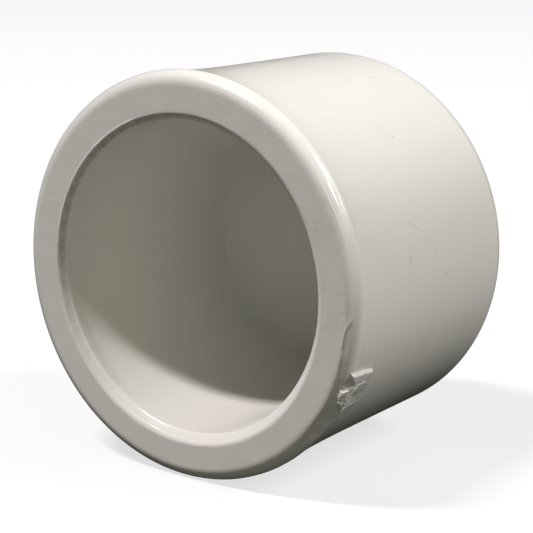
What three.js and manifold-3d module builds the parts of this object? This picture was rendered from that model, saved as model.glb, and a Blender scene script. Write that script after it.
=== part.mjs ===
// Half-inch (DN 15) slip cap in white PVC-U: a round cup that is cemented over the end of a pipe.
// The real cap is one injection moulding, so the group holds one mesh.
//
// Millimetres, +Z up. The cap lies on its side: +Y runs along its axis, from the open mouth to the
// closed end. The origin is the centre of the socket's floor, where the pipe stops.

import * as THREE from 'three';
import { mergeVertices } from 'three/addons/utils/BufferGeometryUtils.js';
import Module from 'manifold-3d';

// Socket. Its taper is that of a solvent-weld socket for 21.34 mm (half-inch) pipe.
const SOCKET_DEPTH = 18.3;
const SOCKET_MOUTH_RADIUS = 10.77;
const SOCKET_FLOOR_RADIUS = 10.62;
const FLOOR_CORNER_RADIUS = 0.15;
const LEAD_IN_RADIUS = 11.2;
const LEAD_IN_DEPTH = 0.55;

// Outside. The wall has a little draft and swells towards the lip.
const END_WALL = 2.1;
const WALL_RADIUS = 13.7;
const DRAFT_PER_MM = 0.01;
const LIP_SWELL = 0.55;
const LIP_SWELL_LENGTH = 2.4;
const LIP_EDGE_RADIUS = 1.0;
const END_EDGE_RADIUS = 1.5;

// Edge gate: the stub that is left after the sprue was cut off, on the wall just behind the lip.
const GATE_ANGLE = -26;
const GATE_WIDTH = 3.5;
const GATE_FROM_MOUTH = 0.6;
const GATE_LENGTH = 3.1;
const GATE_PROUD = 0.25;
const GATE_CUT_TILT = 7;

// Flats that the trimming knife left on the lip's rounded edge, above the gate and below it. Tilt is
// how far each one leans back from the rim face.
const KNIFE_FLATS = [
  { angle: -12, tilt: 31, depth: 0.05 },
  { angle: -36, tilt: 50, depth: 0.17 },
];

// Fineness of the faceting.
const TURN_STEPS = 96;
const LIP_STEPS = 5;
const WALL_STEPS = 7;
const END_STEPS = 5;
const CORNER_STEPS = 3;

const MOUTH_Y = -SOCKET_DEPTH;
const DEGREE = Math.PI / 180;

const { Manifold, Mesh: ManifoldMesh } = await loadManifold();

async function loadManifold() {
  const wasm = await Module();
  wasm.setup();
  return wasm;
}

// Outer wall's radius at a distance behind the mouth.
function wallRadius(behindMouth) {
  const swell = LIP_SWELL * Math.exp(-behindMouth / LIP_SWELL_LENGTH);
  return WALL_RADIUS - DRAFT_PER_MM * behindMouth + swell;
}

// Points of a round edge, from one angle to another about its centre.
function arc(centreRadius, centreY, radius, fromAngle, toAngle, steps) {
  return Array.from({ length: steps + 1 }, (_, i) => {
    const angle = THREE.MathUtils.lerp(fromAngle, toAngle, i / steps) * DEGREE;
    return new THREE.Vector2(
      centreRadius + radius * Math.cos(angle),
      centreY + radius * Math.sin(angle)
    );
  });
}

// Half section of the cap as (radius, y): out across the floor, along the bore to the mouth, round
// the lip, back along the wall and in across the closed end.
function profile() {
  const corner = arc(
    SOCKET_FLOOR_RADIUS - FLOOR_CORNER_RADIUS, -FLOOR_CORNER_RADIUS,
    FLOOR_CORNER_RADIUS, 90, 0, CORNER_STEPS
  );
  const leadIn = [
    new THREE.Vector2(SOCKET_MOUTH_RADIUS, MOUTH_Y + LEAD_IN_DEPTH),
    new THREE.Vector2(LEAD_IN_RADIUS, MOUTH_Y),
  ];
  const lip = arc(
    wallRadius(LIP_EDGE_RADIUS) - LIP_EDGE_RADIUS, MOUTH_Y + LIP_EDGE_RADIUS,
    LIP_EDGE_RADIUS, -90, 0, LIP_STEPS
  );

  // The swell fades fast, so its points are closer together near the lip.
  const endEdgeY = END_WALL - END_EDGE_RADIUS;
  const wallLength = endEdgeY - MOUTH_Y - LIP_EDGE_RADIUS;
  const wall = Array.from({ length: WALL_STEPS - 1 }, (_, i) => {
    const behindMouth = LIP_EDGE_RADIUS + wallLength * ((i + 1) / WALL_STEPS) ** 2;
    return new THREE.Vector2(wallRadius(behindMouth), MOUTH_Y + behindMouth);
  });
  const endEdge = arc(
    wallRadius(endEdgeY - MOUTH_Y) - END_EDGE_RADIUS, endEdgeY,
    END_EDGE_RADIUS, 0, 90, END_STEPS
  );
  return [
    new THREE.Vector2(0, 0),
    ...corner,
    ...leadIn,
    ...lip,
    ...wall,
    ...endEdge,
    new THREE.Vector2(0, END_WALL),
  ];
}

// Closed mesh to solid. A turned shape's triangles collapse on its axis, and those are dropped.
function toSolid(geometry) {
  geometry.deleteAttribute('normal');
  geometry.deleteAttribute('uv');
  const merged = mergeVertices(geometry, 1e-4);
  const corners = merged.index.array;
  const kept = [];
  for (let i = 0; i < corners.length; i += 3) {
    const [a, b, c] = corners.slice(i, i + 3);
    if (a !== b && b !== c && c !== a) kept.push(a, b, c);
  }
  return new Manifold(new ManifoldMesh({
    numProp: 3,
    vertProperties: new Float32Array(merged.attributes.position.array),
    triVerts: new Uint32Array(kept),
  }));
}

function toGeometry(solid) {
  const { vertProperties, triVerts } = solid.getMesh();
  const geometry = new THREE.BufferGeometry();
  geometry.setAttribute('position', new THREE.BufferAttribute(vertProperties, 3));
  geometry.setIndex(new THREE.BufferAttribute(triVerts, 1));
  geometry.computeVertexNormals();
  return geometry;
}

// Frame at an angle round the cap: local X points outwards, local Y stays the cap's axis.
function aroundAxis(angle) {
  return new THREE.Matrix4().makeRotationY(-angle * DEGREE);
}

// Stub of the gate: a block sunk into the wall, whose outer face is the tilted cut.
function gateStub() {
  const height = 2;
  const block = new THREE.BoxGeometry(height, GATE_LENGTH, GATE_WIDTH);
  block.translate(-height / 2, 0, 0);
  block.rotateY(GATE_CUT_TILT * DEGREE);
  const middle = GATE_FROM_MOUTH + GATE_LENGTH / 2;
  block.translate(wallRadius(middle) + GATE_PROUD, MOUTH_Y + middle, 0);
  block.applyMatrix4(aroundAxis(GATE_ANGLE));
  return toSolid(block);
}

// What the knife took off: a block whose inner face slopes across the lip's rounded edge.
function knifeCut({ angle, tilt, depth }) {
  const size = 12;
  const block = new THREE.BoxGeometry(size, size, size);
  block.translate(size / 2 + LIP_EDGE_RADIUS - depth, 0, 0);
  block.rotateZ((tilt - 90) * DEGREE);
  block.translate(wallRadius(LIP_EDGE_RADIUS) - LIP_EDGE_RADIUS, MOUTH_Y + LIP_EDGE_RADIUS, 0);
  block.applyMatrix4(aroundAxis(angle));
  return toSolid(block);
}

function capBody() {
  let solid = toSolid(new THREE.LatheGeometry(profile(), TURN_STEPS)).add(gateStub());
  for (const flat of KNIFE_FLATS) solid = solid.subtract(knifeCut(flat));

  const pvc = new THREE.MeshStandardMaterial({ color: 0xe9e6dd, roughness: 0.28, metalness: 0 });
  const mesh = new THREE.Mesh(toGeometry(solid), pvc);
  mesh.name = 'cap_body';
  return mesh;
}

const pipeCap = new THREE.Group();
pipeCap.add(capBody());

export default pipeCap;
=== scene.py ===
"""Looks of a half-inch PVC slip cap that lies on its side: a glossy, warm white moulding with the torn
stub of its gate and knife marks on the lip. One dense mesh, turned from the cap's section and then
marked, stands for the CAD body.

Lengths are in millimetres until the mesh is made. Angles are in degrees, and a place round the cap is
its angle from +X towards +Z. Seeds only pick a patch of the noise.
"""

import math

import bmesh
import bpy
import numpy as np
from mathutils import Matrix, Vector, noise


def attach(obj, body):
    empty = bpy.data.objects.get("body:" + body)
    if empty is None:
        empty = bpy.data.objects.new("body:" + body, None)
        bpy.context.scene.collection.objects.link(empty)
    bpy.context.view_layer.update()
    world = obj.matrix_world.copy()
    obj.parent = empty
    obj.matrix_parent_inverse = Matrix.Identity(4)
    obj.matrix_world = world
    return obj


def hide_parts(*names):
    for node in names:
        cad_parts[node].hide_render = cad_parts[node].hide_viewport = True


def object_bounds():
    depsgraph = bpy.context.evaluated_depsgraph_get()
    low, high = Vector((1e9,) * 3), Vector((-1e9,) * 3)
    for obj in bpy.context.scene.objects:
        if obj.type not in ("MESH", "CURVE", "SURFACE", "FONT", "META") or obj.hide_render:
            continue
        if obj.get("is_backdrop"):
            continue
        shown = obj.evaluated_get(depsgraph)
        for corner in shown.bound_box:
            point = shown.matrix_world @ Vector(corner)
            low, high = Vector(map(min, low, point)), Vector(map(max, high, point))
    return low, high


MM = 0.001
CAD_NODE = "cap_body"

# Section of the cap, as in the CAD part.
SOCKET_DEPTH = 18.3
SOCKET_MOUTH_RADIUS = 10.77
SOCKET_FLOOR_RADIUS = 10.62
FLOOR_CORNER_RADIUS = 0.15
LEAD_IN_RADIUS = 11.2
LEAD_IN_DEPTH = 0.55
END_WALL = 2.1
WALL_RADIUS = 13.7
DRAFT_PER_MM = 0.01
LIP_SWELL = 0.55
LIP_SWELL_LENGTH = 2.4
LIP_EDGE_RADIUS = 1.0
END_EDGE_RADIUS = 1.5
LENGTH = SOCKET_DEPTH + END_WALL

# How far the lead-in's two roundings reach, which the CAD part leaves sharp.
LEAD_IN_ROUNDING = 0.2
LEAD_IN_ROOT_ROUNDING = 0.1

# Where the grid's rows start or stop lying close together: on the socket's taper, on the rim face and
# on the wall.
CLOSE_SOCKET_RADIUS = SOCKET_MOUTH_RADIUS - 0.02
CLOSE_SOCKET_BEHIND = 3.0
CLOSE_FACE_RADIUS = LEAD_IN_RADIUS + 0.4
CLOSE_WALL_BEHIND = 5.4

# Angles that the grid's columns crowd round, and their steps there and elsewhere.
GATE_ANGLE = -27.0
FLASH_ANGLE = 143.0
GATE_STEP = 0.2
FLASH_STEP = 0.6
COARSE_STEP = 1.2

# Flash along the lead-in's edge: how far outside the edge its ridge stands, its half width, its height
# where it is faint, and what is added where it is strong.
FLASH_OFFSET = 0.08
FLASH_HALF_WIDTH = 0.06
FLASH_FAINT = 0.002
FLASH_ADDED = 0.045

# Shallow groove round the lead-in.
GROOVE_RADIUS = 11.03
GROOVE_BEHIND = 0.2
GROOVE_HALF_WIDTH = 0.05
GROOVE_DEPTH = 0.007

# Streaks where the lead-in keeps its gloss: angle, half width and share of the gloss.
GLOSSY_STREAKS = [(251.5, 2.0, 1.0), (256.5, 1.5, 0.6)]

# Lead-in, as stops of (angle, value): the shade painted in it, darkest on the upper left, and how far
# its outer edge is shifted.
LEAD_IN_PAINTED_SHADE = [
    (50, 0), (80, 0.25), (105, 0.75), (130, 0.75), (170, 0.6), (190, 0.5), (210, 0.35), (225, 0.15),
    (240, 0),
]
LEAD_IN_SHIFT = [
    (0, -0.05), (15, -0.03), (30, 0.08), (60, 0.05), (85, 0), (130, -0.12), (170, -0.12), (195, 0),
    (235, 0.2), (315, 0.2), (345, 0.02), (360, -0.05),
]

# Shade painted on the rim face, darkest at the right and the top, as stops of (angle, share of the
# most).
RIM_PAINTED_SHADE = [
    (0, 1), (50, 0.8), (100, 0.6), (150, 0.3), (200, 0.2), (270, 0.4), (330, 0.8), (360, 1),
]
MOST_RIM_SHADE = 0.3

# Polishing lines round the lip's edge: their spacing, their height where they are faint, and what is
# added where they are strong.
LIP_LINE_SPACING = 0.25
LIP_LINE_FAINT = 0.0018
LIP_LINE_ADDED = 0.005

# Knife's scrape on the lip, as stops of (angle below the cap's right side, path across the lip): where
# the ledge cuts it off, where it runs out, and where its chords would start without the ledge.
SCRAPE_LEDGE = [
    (2, 0.6), (4, 0.4), (6, 0.23), (10, 0.2), (20, 0.34), (30, 0.46), (38, 0.36), (47, 0.5),
]
SCRAPE_END = [
    (2, 0.6), (6, 0.6), (10, 0.66), (17, 0.8), (24, 0.94), (29, 1.15), (33, 1.4), (40, 1.35), (47, 0.5),
]
SCRAPE_START = [
    (2, 0.6), (6, 0.34), (10, 0.14), (17, 0.12), (22, 0.18), (28, 0.32), (38, 0.32), (47, 0.5),
]
LEDGE_HALF_WIDTH = 0.07

# Burr along the scrape's upper end, as places of (path, angle), and the arc that a degree spans there.
SCRAPE_BURR = [(0.66, -2.6), (0.53, -3.3), (0.37, -4.5), (0.2, -6.5), (0.14, -8.5), (0.17, -11.0)]
SCRAPE_BURR_HEIGHT = 0.05
SCRAPE_BURR_HALF_WIDTH = 0.05
MM_PER_DEGREE = 0.235

# Gate stub, in places of (along, down): along the wall from the rim face's edge, and down round the
# wall from this angle, near the stub's upper side.
GATE_TOP_ANGLE = -19.0

# Its ragged front edge, as stops of (down, along), and its height, as stops of (down, height).
GATE_FRONT = [
    (-0.3, 1.15), (0.2, 1.2), (0.35, 1.4), (0.7, 1.5), (0.95, 1.15), (1.15, 0.84), (1.5, 0.86),
    (2.0, 0.95), (2.25, 1.2), (2.8, 1.5), (3.2, 1.4),
]
GATE_HEIGHT = [(0, 0.28), (0.6, 0.25), (1.0, 0.22), (2.0, 0.16), (3.0, 0.13)]

# Its hollows: middle, half length, half width and depth.
GATE_HOLLOWS = [
    ((2.2, 1.75), 0.5, 0.4, 0.08),
    ((3.0, 2.1), 0.9, 0.5, 0.04),
]

# Teeth of torn plastic down its front: each one's tip along the wall, and its root below the upper
# side. A tooth runs forwards by the reach and down by the drop.
TEETH = [(0.84, 0.98), (0.86, 1.2), (0.84, 1.4), (0.88, 1.63), (0.9, 1.84), (0.93, 2.05)]
TOOTH_REACH = 0.3
TOOTH_DROP = 0.16

# Its burrs: height, half width, and the lines that they follow.
GATE_BURRS = {
    "curl": (0.07, 0.07, [[(1.5, 1.75), (1.62, 1.4), (1.85, 1.1), (2.3, 0.88), (3.2, 0.85)]]),
    "hook": (0.02, 0.08, [[(0.76, 0.95), (0.9, 0.84), (1.08, 0.95)]]),
    "teeth": (0.075, 0.07, [[(at + TOOTH_REACH, top), (at, top + TOOTH_DROP)] for at, top in TEETH]),
    "second_row": (0.05, 0.09, [[(1.2, 1.0), (1.3, 1.5), (1.5, 2.1)]]),
    "lower_rim": (0.04, 0.16, [[(1.45, 3.05), (1.8, 2.7), (2.8, 2.85), (4.2, 2.95)]]),
}

# Notch torn out in front of its upper side. Its middle leans forwards by the slant as it goes down.
NOTCH_ALONG = 1.2
NOTCH_DOWN = 0.45
NOTCH_SLANT = 0.25
NOTCH_DEPTH = 0.10

# Line of the dirtiest part of the torn front.
DIRTY_LINE = [(0.8, 0.9), (1.5, 0.75)]

# Small knocks: radius, angle, size and depth of a nick on the lead-in's edge and of a dirty speck
# pressed into the rim face.
DENTS = [
    (11.45, -119, 0.14, 0.05),
    (12.4, 158.4, 0.12, 0.025),
]
DENT_DIRT = 0.35

# Faint marks on the outer wall: distance behind the mouth, angle, half length and half width, slant
# from the axis's direction, and strength.
MARKS = [
    (10.5, 43.0, 0.32, 0.12, -35, 0.34),
    (11.6, 66.5, 0.22, 0.16, 0, 0.24),
    (12.6, 67.5, 0.25, 0.18, 20, 0.20),
    (15.0, 66.8, 0.35, 0.16, 0, 0.20),
    (5.3, 53.2, 0.20, 0.18, 0, 0.18),
    (8.2, 17.0, 1.30, 0.14, -28, 0.20),
    (7.2, 7.9, 0.22, 0.28, 0, 0.24),
    (11.8, 0.1, 0.20, 0.18, 0, 0.30),
    (10.6, 7.3, 0.12, 0.70, 0, 0.16),
]

# Colours of the PVC, and of what soils it and of the shade painted on it.
COOL_WHITE = (0.860, 0.866, 0.806, 1)
WARM_WHITE = (0.882, 0.876, 0.806, 1)
STREAK_WHITE = (0.843, 0.849, 0.787, 1)
SPECK_BROWN = (0.50, 0.46, 0.37, 1)
MARK_GREY = (0.34, 0.32, 0.29, 1)
GRIME_AND_SHADE_BROWN = (0.27, 0.21, 0.155, 1)

PVC_IOR = 1.54
MOST_ROUGHNESS = 0.265

# Depths of the relief that the material adds to the mesh.
SLOW_RIPPLE = 0.0040
FINE_GRAIN = 0.0007
ROUGH_RELIEF_DEPTH = 0.05
POLISH_LINES = 0.0003
DEEP_POLISH_LINES = 0.06

# Camera, which looks 36 degrees round from the mouth's front and 13 degrees down. Its place is in
# millimetres from the mouth's centre.
LENS = 121.6
SENSOR_WIDTH = 36
CAMERA_FROM_MOUTH = (73.7, -91.4, 28.4)
CAMERA_FORWARD = (-0.5735, 0.7868, -0.2280)

# Lamps: name, azimuth from -Y towards +X, elevation, roll, length, width, light and colour. Lengths
# are in metres, and light is the irradiance that the lamp gives at the cap.
LAMPS = [
    ("key", -34, 61.3, 44, 0.24, 0.06, 3.0, (1.0, 0.94, 0.97)),
    ("back_right", 111, 41, 90, 0.34, 0.24, 2.10, (1.0, 0.97, 0.96)),
    ("front_right", 48, 33, 0, 0.5, 0.5, 0.23, (1.0, 1.0, 0.76)),
    ("low_front", 46, -8, 0, 0.8, 0.8, 0.29, (1.0, 0.95, 0.84)),
    ("low_back", 143, -2, 0, 0.8, 0.8, 0.09, (1.0, 0.93, 0.90)),
    ("left", -91, 14, 0, 0.8, 0.8, 0.03, (1.0, 0.96, 0.98)),
    ("back", -170, 21, 0, 0.8, 0.8, 0.09, (1.0, 0.92, 1.0)),
]
LAMP_DISTANCE = 0.8

# Light that the pale floor throws up on to the lip: a small lamp close in front of it.
BOUNCE = ("bounce", 8, -30, 0, 0.03, 0.03, 0.04, (1.0, 0.96, 0.90))
BOUNCE_DISTANCE = 0.047

# Light that reaches the cap from the world, and the floor, whose reach is in metres.
WORLD_FILL = 0.01
FLOOR_REACH = 3.0
FLOOR_GREY = 0.3
FLOOR_GLOW = 0.7


def smooth(low, high, x):
    """0 below low, 1 above high, and a smooth step between them."""
    t = np.clip((x - low) / (high - low), 0, 1)
    return t * t * (3 - 2 * t)


def window(rise_from, rise_to, fall_from, fall_to, x):
    """1 between rise_to and fall_from, 0 outside the other two, and smooth steps between."""
    return smooth(rise_from, rise_to, x) * (1 - smooth(fall_from, fall_to, x))


def bump(x, width):
    """1 at x = 0, falling smoothly away over about width to each side."""
    return np.exp(-((x / width) ** 2))


def through(stops, x):
    """Value at x of the straight lines through stops of (x, value)."""
    places, values = zip(*stops)
    return np.interp(x, places, values)


def wall_radius(behind):
    """Radius of the outer wall at a distance behind the mouth."""
    swell = LIP_SWELL * np.exp(-behind / LIP_SWELL_LENGTH)
    return WALL_RADIUS - DRAFT_PER_MM * behind + swell


FACE_EDGE_RADIUS = float(wall_radius(LIP_EDGE_RADIUS)) - LIP_EDGE_RADIUS


# ---------------------------------------------------------------- section and grid


def line(start, end, steps):
    """Points from start to end, with the first left out."""
    share = np.linspace(0, 1, steps + 1)[1:, None]
    return np.array(start) * (1 - share) + np.array(end) * share


def bend(start, corner, end, steps):
    """Points of the curve that rounds a corner off, with the first left out."""
    share = np.linspace(0, 1, steps + 1)[1:, None]
    return start * (1 - share) ** 2 + corner * 2 * share * (1 - share) + end * share**2


def arc(centre, radius, from_angle, to_angle, steps):
    """Points of a round edge, with the first left out."""
    angles = np.radians(np.linspace(from_angle, to_angle, steps + 1)[1:])
    return np.stack(
        [centre[0] + radius * np.cos(angles), centre[1] + radius * np.sin(angles)], 1
    )


def trace(stops):
    """Outline through stops of (radius, behind, reach of the rounding, steps of the line, steps of the
    rounding). The first point is left out."""
    corners = [np.array(stop[:2], float) for stop in stops]
    outline = [corners[0][None, :]]
    for before, corner, after, stop in zip(corners, corners[1:], corners[2:], stops[1:]):
        reach, line_steps, bend_steps = stop[2:]
        back, on = before - corner, after - corner
        start = corner + reach * back / np.linalg.norm(back)
        end = corner + reach * on / np.linalg.norm(on)
        outline.append(line(outline[-1][-1], start, line_steps))
        if bend_steps:
            outline.append(bend(start, corner, end, bend_steps))
    last_steps = stops[-1][3]
    outline.append(line(outline[-1][-1], corners[-1], last_steps))
    return np.concatenate(outline[1:])


def section():
    """(radius, distance behind the mouth) from the socket's floor, out of the mouth, round the lip and
    over the closed end. Points are closest together near the lip."""
    end_edge = LENGTH - END_EDGE_RADIUS
    end_face_radius = float(wall_radius(end_edge)) - END_EDGE_RADIUS
    lip_wall = np.linspace(LIP_EDGE_RADIUS, CLOSE_WALL_BEHIND, 56)[1:]
    back_wall = np.linspace(CLOSE_WALL_BEHIND, end_edge, 14)[1:]
    wall = np.concatenate([lip_wall, back_wall])
    parts = [
        trace([
            (0, SOCKET_DEPTH, 0, 0, 0),
            (SOCKET_FLOOR_RADIUS, SOCKET_DEPTH, FLOOR_CORNER_RADIUS, 9, 6),
            (CLOSE_SOCKET_RADIUS, CLOSE_SOCKET_BEHIND, 0, 12, 0),
            (SOCKET_MOUTH_RADIUS, LEAD_IN_DEPTH, LEAD_IN_ROOT_ROUNDING, 11, 5),
            (LEAD_IN_RADIUS, 0, LEAD_IN_ROUNDING, 12, 8),
            (CLOSE_FACE_RADIUS, 0, 0, 5, 0),
            (FACE_EDGE_RADIUS, 0, 0, 11, 0),
        ]),
        arc((FACE_EDGE_RADIUS, LIP_EDGE_RADIUS), LIP_EDGE_RADIUS, -90, 0, 30),
        np.stack([wall_radius(wall), wall], 1),
        arc((end_face_radius, end_edge), END_EDGE_RADIUS, 0, 90, 12),
        line((end_face_radius, LENGTH), (0, LENGTH), 7)[:-1],
    ]
    return np.concatenate(parts)


def turn_angles():
    """Angles of the grid's columns, close together at the gate and at the mouth's flash."""
    angles = []
    angle = GATE_ANGLE
    while angle < GATE_ANGLE + 360:
        angles.append(angle)
        from_gate = min(angle - GATE_ANGLE, GATE_ANGLE + 360 - angle)
        from_flash = abs(angle - FLASH_ANGLE)
        gate_step = GATE_STEP + (COARSE_STEP - GATE_STEP) * smooth(9, 30, from_gate)
        flash_step = FLASH_STEP + (COARSE_STEP - FLASH_STEP) * smooth(38, 48, from_flash)
        angle += min(gate_step, flash_step)
    return np.array(angles)


class Grid:
    """The turned surface: one row for each point of the section, one column for each angle.

    angle runs from -180 to 180, and turn is the same from 0 to 360. path is the distance along the
    section from the rim face's outer edge, towards the closed end. The grime and painted shade, and the
    lost gloss, are held in two layers from 0 to 1.
    """

    def __init__(self):
        outline = section()
        ahead = np.concatenate([outline[1:], [(0, LENGTH)]])
        before = np.concatenate([[(0, SOCKET_DEPTH)], outline[:-1]])
        along = ahead - before
        along /= np.linalg.norm(along, axis=1)[:, None]
        steps = np.linalg.norm(np.diff(outline, axis=0), axis=1)
        path = np.concatenate([[0], np.cumsum(steps)])
        edge_row = np.argmin(np.hypot(outline[:, 0] - FACE_EDGE_RADIUS, outline[:, 1]))
        angles = (turn_angles() + 180) % 360 - 180
        self.angle = angles[None, :] * np.ones((len(outline), 1))
        self.turn = self.angle % 360
        full = np.ones_like(self.angle)
        self.path = (path - path[edge_row])[:, None] * full
        self.radius = outline[:, :1] * full
        self.behind = outline[:, 1:] * full
        self.normal_radius = along[:, 1:] * full
        self.normal_behind = -along[:, :1] * full
        self.grime_and_shade = np.zeros_like(full)
        self.dull = np.zeros_like(full)

    def raise_by(self, height):
        """Moves the surface outwards along its normals."""
        self.radius = self.radius + self.normal_radius * height
        self.behind = self.behind + self.normal_behind * height

    def darken(self, amount):
        """Raises the grime and painted shade to at least the given amount."""
        self.grime_and_shade = np.maximum(self.grime_and_shade, amount)

    def points(self):
        """Places of the grid's points in the CAD part's axes."""
        turn = np.radians(self.angle)
        return np.stack(
            [self.radius * np.cos(turn), self.behind - SOCKET_DEPTH, self.radius * np.sin(turn)], -1
        )

    def noise(self, size, seed, where):
        """Smooth noise from -1 to 1 with lumps of the given size, worked out only where asked."""
        made = np.zeros_like(self.radius)
        points = self.points()
        shift = Vector((seed, 2 * seed, 3 * seed))
        for index in zip(*np.nonzero(where)):
            made[index] = noise.noise(Vector(points[index]) / size + shift)
        return made


def build_mesh(name, grid):
    """Closed mesh of the grid in metres, with a pole on the axis at each end."""
    points = grid.points()
    rows, columns = points.shape[:2]
    work = bmesh.new()
    grime_and_shade = work.verts.layers.float.new("grime_and_shade")
    dull = work.verts.layers.float.new("dull")
    verts = []
    for row, grime_and_shade_row, dull_row in zip(points, grid.grime_and_shade, grid.dull):
        made = [work.verts.new(p * MM) for p in row]
        for vert, grime_and_shade_amount, dulled in zip(made, grime_and_shade_row, dull_row):
            vert[grime_and_shade] = grime_and_shade_amount
            vert[dull] = dulled
        verts.append(made)
    floor_pole = work.verts.new((0, 0, 0))
    end_pole = work.verts.new((0, END_WALL * MM, 0))
    for i in range(columns):
        j = (i + 1) % columns
        work.faces.new((floor_pole, verts[0][i], verts[0][j]))
        work.faces.new((end_pole, verts[-1][j], verts[-1][i]))
        for k in range(rows - 1):
            work.faces.new((verts[k][i], verts[k + 1][i], verts[k + 1][j], verts[k][j]))
    bmesh.ops.recalc_face_normals(work, faces=work.faces)
    mesh = bpy.data.meshes.new(name)
    work.to_mesh(mesh)
    work.free()
    mesh.shade_smooth()
    return mesh


# ---------------------------------------------------------------- marks on the moulding


def distance_to(lines, x, y):
    """Distance of (x, y) to the nearest of the lines, each given by its points."""
    nearest = np.full(np.shape(x), 99.0)
    for points in lines:
        for (x0, y0), (x1, y1) in zip(points, points[1:]):
            run_x, run_y = x1 - x0, y1 - y0
            share = ((x - x0) * run_x + (y - y0) * run_y) / (run_x**2 + run_y**2)
            share = np.clip(share, 0, 1)
            away = np.hypot(x - x0 - share * run_x, y - y0 - share * run_y)
            nearest = np.minimum(nearest, away)
    return nearest


def add_lead_in_ripples(grid):
    """Shallow groove and slow waves round the lead-in. Its gloss is dulled along the bottom and the
    right, but for two short streaks."""
    on_cone = (grid.radius < LEAD_IN_RADIUS + 0.2) & (grid.behind < LEAD_IN_DEPTH + 0.1)
    from_groove = np.hypot(grid.radius - GROOVE_RADIUS, grid.behind - GROOVE_BEHIND)
    groove = GROOVE_DEPTH * bump(from_groove, GROOVE_HALF_WIDTH)
    fade = 1 - smooth(0.35, 0.6, grid.behind)
    uneven = 0.006 * fade * grid.noise(0.9, 7, on_cone) + 0.010 * grid.noise(0.55, 8, on_cone)
    grid.raise_by(np.where(on_cone, uneven - groove, 0))
    still_glossy = np.maximum.reduce([
        share * bump(grid.turn - angle, half_width) for angle, half_width, share in GLOSSY_STREAKS
    ])
    grid.dull = np.where(on_cone, (1 - still_glossy) * smooth(225, 240, grid.turn), 0)


def add_lead_in_flash(grid):
    """Thin raised line of flash where the rim face meets the lead-in, with shade painted into the
    lead-in behind it, darkest on the upper left, and on the socket's wall just behind the lead-in at
    the lower left.
    """
    from_ridge = np.hypot(grid.radius - LEAD_IN_RADIUS - FLASH_OFFSET, grid.behind - 0.01)
    inside = (grid.radius < LEAD_IN_RADIUS + 0.03) & (grid.behind < LEAD_IN_DEPTH + 0.1)
    near = (from_ridge < 0.4) | inside
    waviness = 1 + 0.7 * grid.noise(0.9, 3, near) + 0.4 * grid.noise(0.35, 4, near)
    height = FLASH_FAINT + FLASH_ADDED * window(95, 125, 184, 190, grid.turn)
    grid.raise_by(height * waviness * bump(from_ridge, FLASH_HALF_WIDTH))
    # Painted shade: the lead-in is darkened near its outer edge, most on the upper left, where it lies
    # in shade.
    cone_band = window(0.03, 0.12, 0.30, 0.58, grid.behind) * inside
    darkening = through(LEAD_IN_PAINTED_SHADE, grid.turn)
    grid.darken(cone_band * darkening * np.clip(0.75 + 0.25 * waviness, 0, 1))
    # Painted shade: a band of the socket's wall just behind the lead-in is darkened at the lower left.
    behind_lead_in = bump(grid.behind - 0.95, 0.4) * (grid.radius < SOCKET_MOUTH_RADIUS + 0.05)
    grid.darken(0.24 * behind_lead_in * window(190, 205, 222, 245, grid.turn))


def widen_lead_in(grid):
    """Makes the lead-in's outer edge uneven: further out along the bottom, further in on the left."""
    on_cone = np.clip(1 - grid.behind / LEAD_IN_DEPTH, 0, 1)
    on_face = 1 - smooth(LEAD_IN_RADIUS + 0.1, LEAD_IN_RADIUS + 0.9, grid.radius)
    grid.radius = grid.radius + through(LEAD_IN_SHIFT, grid.turn) * on_cone * on_face


def paint_rim_shade(grid):
    """Shade painted on the rim face in cloudy patches, most of it at the top and on the right."""
    on_face = (grid.behind < 0.05) & (grid.radius > LEAD_IN_RADIUS + 0.2) & (grid.path < 0.6)
    cloudy = np.clip(0.6 + 0.5 * grid.noise(2.0, 31, on_face), 0, 1)
    # Painted shade: the rim face is darkened at the right and the top, where less light falls on it.
    grid.darken(np.where(on_face, MOST_RIM_SHADE * through(RIM_PAINTED_SHADE, grid.turn) * cloudy, 0))


def add_lip_ripples(grid):
    """Fine lines round the lip's outer edge, left by the mould's polishing, and slow unevenness. The
    lines are strongest at the upper right."""
    on_lip = (grid.path > 0.2) & (grid.path < 3.2)
    band = window(0.7, 1.1, 1.9, 2.6, grid.path)
    drift = 0.25 * np.sin(np.radians(grid.turn * 3 + 40)) + 0.12 * np.sin(np.radians(grid.turn * 11))
    ripple = np.sin(2 * np.pi * (grid.path + 0.12 * drift) / LIP_LINE_SPACING)
    patchy = np.clip(0.6 + 0.9 * grid.noise(1.2, 9, on_lip), 0, 1.2)
    height = LIP_LINE_FAINT + LIP_LINE_ADDED * window(10, 20, 42, 54, grid.turn)
    grid.raise_by(height * band * ripple * patchy)
    grid.raise_by(0.008 * band * grid.noise(2.2, 6, on_lip))


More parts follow.
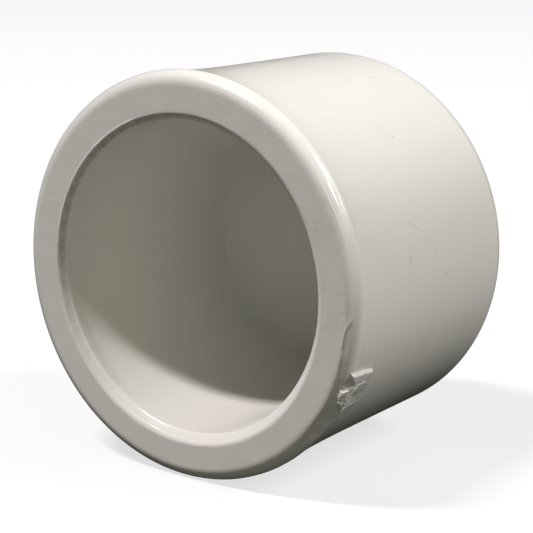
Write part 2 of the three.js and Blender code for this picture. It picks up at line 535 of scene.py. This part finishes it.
def add_knife_scrape(grid):
    """Strip that the trimming knife took off the lip, from a point near the right side down past the
    gate. It is a row of short chords across the rounded edge, each cut off by a small ledge on the rim
    face's side, with a burr along its upper end."""
    below = -grid.angle
    near = (below > 0) & (below < 52) & (grid.path > -0.3) & (grid.path < 2.0)
    wobble = 0.05 * grid.noise(0.7, 21, near)
    start, end = through(SCRAPE_START, below), through(SCRAPE_END, below)
    from_ledge = grid.path - through(SCRAPE_LEDGE, below)
    middle, half = (start + end) / 2 + wobble, (end - start) / 2
    chord = 1 - np.cos(np.clip(half, 0, 1)) / np.maximum(np.cos(grid.path - middle), 0.3)
    ledge = smooth(-LEDGE_HALF_WIDTH, LEDGE_HALF_WIDTH, from_ledge - wobble)
    cut = LIP_EDGE_RADIUS * np.where(near & (half > 0), ledge * np.maximum(chord, 0), 0)
    in_cut = near & (cut > 0)
    chatter = 0.007 * grid.noise(0.22, 22, in_cut) + 0.012 * grid.noise(0.6, 23, in_cut)
    edge_fade = smooth(0, 0.02, cut)
    grid.raise_by(chatter * edge_fade - cut)

    burr = [(path, angle * MM_PER_DEGREE) for path, angle in SCRAPE_BURR]
    from_burr = distance_to([burr], grid.path, grid.angle * MM_PER_DEGREE)
    raised = SCRAPE_BURR_HEIGHT * bump(from_burr, SCRAPE_BURR_HALF_WIDTH)
    grid.raise_by(np.where(near, raised, 0))

    darkening = 0.02 + 0.04 * smooth(13, 38, below)
    darkening = darkening + 0.12 * bump(from_ledge - 0.15, 0.2) * smooth(26, 34, below)
    grid.darken(edge_fade * darkening)


def gate_outline(along, down):
    """1 on the gate stub, falling to 0 over its torn sides."""
    upper_side = -0.24 + 0.17 * (along - 1.2)
    far_end = 4.0 + 0.3 * smooth(1.0, 3.0, down)
    return (
        smooth(-0.03, 0.11, down - upper_side)
        * smooth(-0.02, 0.08, along - through(GATE_FRONT, down))
        * (1 - smooth(-0.05, 0.25, along - far_end))
        * (1 - smooth(2.75, 3.1, down))
    )


def add_gate_stub(grid):
    """Torn-off gate behind the lip: a low block with a dished top, a ragged front and curled burrs, and
    a notch torn out in front of its upper side."""
    along = grid.path
    down = np.radians(GATE_TOP_ANGLE - grid.angle) * WALL_RADIUS
    near = (along > -0.1) & (along < 5.4) & (down > -1.0) & (down < 4.4)
    along = along + 0.05 * grid.noise(0.4, 11, near) + 0.03 * grid.noise(0.17, 12, near)
    down = down + 0.06 * grid.noise(0.4, 13, near) + 0.04 * grid.noise(0.17, 14, near)

    inside = gate_outline(along, down)
    top = through(GATE_HEIGHT, down)
    for (middle_along, middle_down), half_length, half_width, depth in GATE_HOLLOWS:
        hollow = bump(along - middle_along, half_length) * bump(down - middle_down, half_width)
        top = top - depth * hollow
    rough_relief = 0.025 * grid.noise(0.45, 15, near) + 0.015 * grid.noise(0.16, 16, near)
    burrs = sum(
        height * bump(distance_to(lines, along, down), half_width)
        for height, half_width, lines in GATE_BURRS.values()
    )
    from_notch = along - NOTCH_ALONG + NOTCH_SLANT * (down - NOTCH_DOWN)
    notch = NOTCH_DEPTH * bump(from_notch, 0.14) * bump(down - NOTCH_DOWN, 0.24)
    height = inside * (top + rough_relief) + burrs - notch
    grid.raise_by(np.where(near, height, 0))

    grid.grime_and_shade *= 1 - np.where(near, smooth(0.02, 0.08, height), 0)
    in_notch = bump(from_notch, 0.13) * bump(down - 0.5, 0.25)
    on_dirty_line = bump(distance_to([DIRTY_LINE], along, down), 0.16)
    darkening = 0.18 * inside * smooth(0.15, 0.5, down) + 0.2 * in_notch + 0.5 * on_dirty_line
    grid.darken(np.where(near, darkening, 0))


def add_dents(grid):
    """Small knocks on the mouth, each with a little dirt in it."""
    for radius, angle, size, depth in DENTS:
        across = np.radians((grid.angle - angle + 180) % 360 - 180) * radius
        distance = np.hypot(across, grid.radius - radius) + 10 * np.abs(grid.behind)
        grid.raise_by(-depth * bump(distance, size))
        grid.darken(DENT_DIRT * bump(distance, size))


# ---------------------------------------------------------------- materials


class Graph:
    """Shader nodes of one material. Sockets and plain numbers can both be given as inputs."""

    def __init__(self, name):
        self.material = bpy.data.materials.new(name)
        self.material.use_nodes = True
        self.tree = self.material.node_tree
        self.shader = self.tree.nodes["Principled BSDF"]
        metres = self.node("ShaderNodeTexCoord").outputs["Object"]
        self.place = self.vector("SCALE", metres, scale=1 / MM)
        self.axes = self.node("ShaderNodeSeparateXYZ", Vector=self.place).outputs

    def put(self, socket, value):
        """Links a socket to an input, or sets the input to a plain value."""
        if isinstance(value, bpy.types.NodeSocket):
            self.tree.links.new(value, socket)
        else:
            socket.default_value = value

    def node(self, kind, settings=None, **inputs):
        """New node with its settings and its named inputs. An underscore stands for a space."""
        made = self.tree.nodes.new(kind)
        for name, value in (settings or {}).items():
            setattr(made, name, value)
        for name, value in inputs.items():
            self.put(made.inputs[name.replace("_", " ")], value)
        return made

    def maths(self, operation, *values):
        made = self.node("ShaderNodeMath", {"operation": operation})
        for socket, value in zip(made.inputs, values):
            self.put(socket, value)
        return made.outputs[0]

    def vector(self, operation, *values, scale=None):
        made = self.node("ShaderNodeVectorMath", {"operation": operation})
        for socket, value in zip(made.inputs, values):
            self.put(socket, value)
        if scale is not None:
            made.inputs["Scale"].default_value = scale
        return made.outputs["Value" if operation == "LENGTH" else "Vector"]

    def attribute(self, name):
        """Value of one of the mesh's vertex layers."""
        return self.node("ShaderNodeAttribute", {"attribute_name": name}).outputs["Fac"]

    def noise(self, lump, detail=2.0, stretch=(1, 1, 1), shift=0.0):
        """Noise from 0 to 1 with lumps of that many mm, drawn out along each axis by stretch."""
        mapping = self.node("ShaderNodeMapping", Vector=self.place)
        mapping.inputs["Location"].default_value = (shift, shift, shift)
        mapping.inputs["Scale"].default_value = [1 / s for s in stretch]
        made = self.node("ShaderNodeTexNoise", Vector=mapping.outputs[0], Scale=1 / lump, Detail=detail)
        return made.outputs["Fac"]

    def ring_lines(self, spacing):
        """Noise from 0 to 1 in fine lines that run round the cap's axis, about spacing mm apart."""
        x, y, z = self.axes
        squares = self.maths("ADD", self.maths("MULTIPLY", x, x), self.maths("MULTIPLY", z, z))
        radius = self.maths("SQRT", squares)
        across = self.node("ShaderNodeCombineXYZ", X=radius, Y=y, Z=self.maths("MULTIPLY", z, 0.05))
        made = self.node("ShaderNodeTexNoise", Vector=across.outputs[0], Scale=1 / spacing, Detail=1.0)
        return made.outputs["Fac"]

    def step(self, value, low, high, from_zero=0.0, to_one=1.0):
        """Smooth step from from_zero to to_one as value goes from low to high."""
        made = self.node("ShaderNodeMapRange", {"interpolation_type": "SMOOTHSTEP"})
        for name, given in (
            ("Value", value),
            ("From Min", low),
            ("From Max", high),
            ("To Min", from_zero),
            ("To Max", to_one),
        ):
            self.put(made.inputs[name], given)
        return made.outputs["Result"]

    def mix(self, share, first, second):
        """Colour between first and second."""
        made = self.node("ShaderNodeMix", {"data_type": "RGBA"})
        self.put(made.inputs["Factor"], share)
        self.put(made.inputs["A"], first)
        self.put(made.inputs["B"], second)
        return made.outputs["Result"]

    def flecks(self, spacing, size, share, shift=0.0):
        """1 in small round flecks of a size in mm, in a share of the cells, spacing mm apart."""
        where = self.vector("ADD", self.place, (shift, shift, shift))
        cells = self.node("ShaderNodeTexVoronoi", Vector=where, Scale=1 / spacing)
        picked = self.node("ShaderNodeSeparateColor", Color=cells.outputs["Color"])
        chosen = self.maths("LESS_THAN", picked.outputs[0], share)
        edge = size / spacing
        round_spot = self.step(cells.outputs["Distance"], size * 0.3 / spacing, edge, 1.0, 0.0)
        return self.maths("MULTIPLY", chosen, round_spot)

    def mark(self, behind, angle, length, width, slant):
        """1 in a soft spot or streak on the outer wall, slant degrees from the axis's direction."""
        radius = float(wall_radius(behind))
        turn = math.radians(angle)
        centre = Vector((radius * math.cos(turn), behind - SOCKET_DEPTH, radius * math.sin(turn)))
        from_centre = self.vector("SUBTRACT", self.place, tuple(centre))
        mapping = self.node("ShaderNodeMapping", {"vector_type": "TEXTURE"}, Vector=from_centre)
        around = Vector((-math.sin(turn), 0, math.cos(turn)))
        lean = math.radians(slant)
        long_way = Vector((0, math.cos(lean), 0)) + around * math.sin(lean)
        outwards = Vector((math.cos(turn), 0, math.sin(turn)))
        axes = Matrix((long_way, outwards.cross(long_way), outwards)).transposed()
        mapping.inputs["Rotation"].default_value = axes.to_euler()
        mapping.inputs["Scale"].default_value = (length, width, 1.0)
        distance = self.vector("LENGTH", mapping.outputs[0])
        return self.step(distance, 0.3, 1.0, 1.0, 0.0)


def handling_marks(graph):
    """Strength of the faint marks on the outer wall."""
    marks = 0.0
    for *shape, strength in MARKS:
        soft = graph.maths("MULTIPLY", graph.mark(*shape), strength)
        marks = graph.maths("MAXIMUM", soft, marks)
    return marks


def pvc_colour(graph, grime_and_shade, marks):
    """Cloudy, faintly streaked white with sunk specks, small pits, handling marks, grime, and shade
    painted on the lead-in and the rim face.
    """
    clouds = graph.step(graph.noise(7.0, 3.0), 0.3, 0.7)
    colour = graph.mix(clouds, COOL_WHITE, WARM_WHITE)
    streaks = graph.step(graph.noise(1.6, 3.0, stretch=(1, 5, 1), shift=20.0), 0.35, 0.75, 0.0, 0.35)
    colour = graph.mix(streaks, colour, STREAK_WHITE)

    specks = graph.maths("MULTIPLY", graph.flecks(2.6, 0.12, 0.5), 0.40)
    pits = graph.maths("MULTIPLY", graph.flecks(1.1, 0.06, 0.4, shift=7.0), 0.35)
    colour = graph.mix(graph.maths("MAXIMUM", specks, pits), colour, SPECK_BROWN)

    broken_up = graph.step(graph.noise(0.35, 2.0, shift=40.0), 0.3, 0.6, 0.4, 1.0)
    colour = graph.mix(graph.maths("MULTIPLY", marks, broken_up), colour, MARK_GREY)

    # Grime on the cuts, the gate and the dents, and shade painted on the lead-in and the rim face,
    # darken the colour towards brown.
    blotches = graph.step(graph.noise(0.5, 4.0, shift=60.0), 0.25, 0.7, 0.45, 1.0)
    grime_and_shade_blotches = graph.maths("MULTIPLY", grime_and_shade, blotches)
    return graph.mix(graph.maths("MULTIPLY", grime_and_shade_blotches, 0.8), colour, GRIME_AND_SHADE_BROWN)


def pvc_roughness(graph, grime_and_shade, dull, marks):
    """Smudged gloss with rub marks along the axis, rougher under the grime and painted shade, and where
    it is marked or dulled.
    """
    smudges = graph.step(graph.noise(3.5, 4.0, shift=80.0), 0.35, 0.7, 0.15, 0.20)
    rubbed = graph.step(graph.noise(0.25, 3.0, stretch=(1, 12, 1), shift=90.0), 0.62, 0.75, 0.0, 0.05)
    rough = graph.maths("ADD", smudges, rubbed)
    for cause, amount in ((grime_and_shade, 0.2), (marks, 0.1), (dull, 0.1)):
        rough = graph.maths("ADD", rough, graph.maths("MULTIPLY", cause, amount))
    return graph.maths("MINIMUM", rough, MOST_ROUGHNESS)


def lip_lines(graph):
    """Fine polishing lines round the cap, faint everywhere and deep on the lip at the upper right."""
    x, y, z = graph.axes
    mouth = -SOCKET_DEPTH
    behind_face = graph.step(y, mouth + 0.02, mouth + 0.2)
    before_wall = graph.step(y, mouth + 0.8, mouth + 1.5, 1.0, 0.0)
    on_lip = graph.maths("MULTIPLY", before_wall, behind_face)
    upper_right = graph.maths("MULTIPLY", graph.step(x, 10.8, 11.8), graph.step(z, 3.0, 5.0))
    deep_here = graph.maths("MULTIPLY", upper_right, on_lip)
    deep = graph.maths("MULTIPLY", deep_here, DEEP_POLISH_LINES)
    return graph.maths("MULTIPLY", graph.ring_lines(0.17), graph.maths("ADD", deep, POLISH_LINES))


def pvc_relief(graph, grime_and_shade):
    """Height in mm of the moulding's slow ripple and fine grain, a rough relief under the grime and
    painted shade, and polishing lines.
    """
    ripple = graph.maths("MULTIPLY", graph.noise(1.3, 2.0, shift=100.0), SLOW_RIPPLE)
    grain = graph.maths("MULTIPLY", graph.noise(0.09, 2.0, shift=110.0), FINE_GRAIN)
    rough_relief_depth = graph.maths("MULTIPLY", grime_and_shade, ROUGH_RELIEF_DEPTH)
    rough_relief = graph.maths("MULTIPLY", graph.noise(0.12, 4.0, shift=120.0), rough_relief_depth)
    moulded = graph.maths("ADD", ripple, grain)
    return graph.maths("ADD", moulded, graph.maths("ADD", rough_relief, lip_lines(graph)))


def white_pvc():
    """Glossy warm white PVC-U with cloudy colour, sunk specks, handling marks, dull, grimy cuts, and
    shade painted on the lead-in and the rim face.
    """
    graph = Graph("white_pvc")
    grime_and_shade, dull = graph.attribute("grime_and_shade"), graph.attribute("dull")
    marks = handling_marks(graph)
    gloss_lost = graph.maths("MAXIMUM", grime_and_shade, graph.maths("MULTIPLY", dull, 0.5))
    relief = graph.node("ShaderNodeBump", Height=pvc_relief(graph, grime_and_shade), Distance=MM)
    for name, value in (
        ("Base Color", pvc_colour(graph, grime_and_shade, marks)),
        ("Roughness", pvc_roughness(graph, grime_and_shade, dull, marks)),
        ("Specular IOR Level", graph.step(gloss_lost, 0.0, 0.6, 0.5, 0.15)),
        ("Normal", relief.outputs[0]),
        ("IOR", PVC_IOR),
    ):
        graph.put(graph.shader.inputs[name], value)
    return graph.material


# ---------------------------------------------------------------- camera, light and floor


def make_camera():
    """Close to the cap, and to the right of the mouth's front."""
    data = bpy.data.cameras.new("camera")
    data.lens = LENS
    data.sensor_width = SENSOR_WIDTH
    data.clip_start = 0.01
    camera = bpy.data.objects.new("camera", data)
    bpy.context.collection.objects.link(camera)
    mouth = Vector((0, -SOCKET_DEPTH, 0)) * MM
    camera.location = mouth + Vector(CAMERA_FROM_MOUTH) * MM
    camera.rotation_mode = "QUATERNION"
    camera.rotation_quaternion = Vector(CAMERA_FORWARD).normalized().to_track_quat("-Z", "Y")
    bpy.context.scene.camera = camera


def direction(azimuth, elevation):
    """Unit vector to a point seen at that bearing, from -Y towards +X, and height above the horizon."""
    a, e = math.radians(azimuth), math.radians(elevation)
    return Vector((math.sin(a) * math.cos(e), -math.cos(a) * math.cos(e), math.sin(e)))


def soft_box(name, azimuth, elevation, roll, length, width, light, colour, distance):
    """Rectangular lamp aimed at the cap. light is the irradiance that it gives there."""
    data = bpy.data.lights.new(name, "AREA")
    data.shape = "RECTANGLE"
    data.size = length
    data.size_y = width
    data.energy = light * math.pi * distance**2
    data.color = colour
    lamp = bpy.data.objects.new(name, data)
    bpy.context.collection.objects.link(lamp)
    towards = direction(azimuth, elevation)
    lamp.location = towards * distance
    lamp.rotation_mode = "QUATERNION"
    turn = Matrix.Rotation(math.radians(roll), 3, "Z").to_quaternion()
    lamp.rotation_quaternion = towards.to_track_quat("Z", "Y") @ turn


def light_studio():
    """A long key lamp high over the mouth, a broad one behind on the right, and weak fills."""
    for lamp in LAMPS:
        soft_box(*lamp, LAMP_DISTANCE)
    soft_box(*BOUNCE, BOUNCE_DISTANCE)


def make_world():
    """Pale to the eye, but only a little light from it reaches the cap."""
    world = bpy.data.worlds.new("world")
    bpy.context.scene.world = world
    world.use_nodes = True
    nodes, links = world.node_tree.nodes, world.node_tree.links
    seen = nodes["Background"]
    seen.inputs["Color"].default_value = (1, 1, 1, 1)
    fill = nodes.new("ShaderNodeBackground")
    fill.inputs["Color"].default_value = (1, 1, 1, 1)
    fill.inputs["Strength"].default_value = WORLD_FILL
    path = nodes.new("ShaderNodeLightPath")
    mix = nodes.new("ShaderNodeMixShader")
    links.new(path.outputs["Is Camera Ray"], mix.inputs["Fac"])
    links.new(fill.outputs[0], mix.inputs[1])
    links.new(seen.outputs[0], mix.inputs[2])
    links.new(mix.outputs[0], nodes["World Output"].inputs["Surface"])


def floor_material():
    """Matt grey that glows, so that it stays pale in the cap's shadow too."""
    material = bpy.data.materials.new("floor")
    material.use_nodes = True
    shader = material.node_tree.nodes["Principled BSDF"]
    shader.inputs["Base Color"].default_value = (FLOOR_GREY, FLOOR_GREY, FLOOR_GREY, 1)
    shader.inputs["Roughness"].default_value = 1.0
    shader.inputs["Specular IOR Level"].default_value = 0.0
    shader.inputs["Emission Color"].default_value = (1, 1, 1, 1)
    shader.inputs["Emission Strength"].default_value = FLOOR_GLOW
    return material


def make_floor(height):
    """Plain pale floor that the cap lies on. It takes the cap's shadow but throws no light back up."""
    work = bmesh.new()
    corners = [
        work.verts.new((x * FLOOR_REACH, y * FLOOR_REACH, height))
        for x, y in ((-1, -1), (1, -1), (1, 1), (-1, 1))
    ]
    work.faces.new(corners)
    mesh = bpy.data.meshes.new("floor")
    work.to_mesh(mesh)
    work.free()
    floor = bpy.data.objects.new("floor", mesh)
    bpy.context.collection.objects.link(floor)
    floor.visible_diffuse = False
    floor.visible_glossy = False
    floor.visible_transmission = False
    floor.visible_shadow = False
    floor.data.materials.append(floor_material())
    floor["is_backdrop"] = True


# ---------------------------------------------------------------- scene


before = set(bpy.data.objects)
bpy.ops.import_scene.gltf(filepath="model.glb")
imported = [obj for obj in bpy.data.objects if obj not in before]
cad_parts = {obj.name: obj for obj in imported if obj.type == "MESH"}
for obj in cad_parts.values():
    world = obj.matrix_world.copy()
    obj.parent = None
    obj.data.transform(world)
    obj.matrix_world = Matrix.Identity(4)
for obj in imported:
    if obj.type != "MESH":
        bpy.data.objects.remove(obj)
lowest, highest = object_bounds()
floor_height = lowest.z

grid = Grid()
add_lead_in_ripples(grid)
add_lead_in_flash(grid)
widen_lead_in(grid)
paint_rim_shade(grid)
add_lip_ripples(grid)
add_knife_scrape(grid)
add_gate_stub(grid)
add_dents(grid)
cap = bpy.data.objects.new("cap_moulding", build_mesh("cap_moulding", grid))
bpy.context.collection.objects.link(cap)
cap.data.materials.append(white_pvc())
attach(cap, "root")
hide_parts(CAD_NODE)

make_camera()
light_studio()
make_world()
make_floor(floor_height)
bpy.context.scene.view_settings.view_transform = "Standard"

lowest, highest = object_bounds()
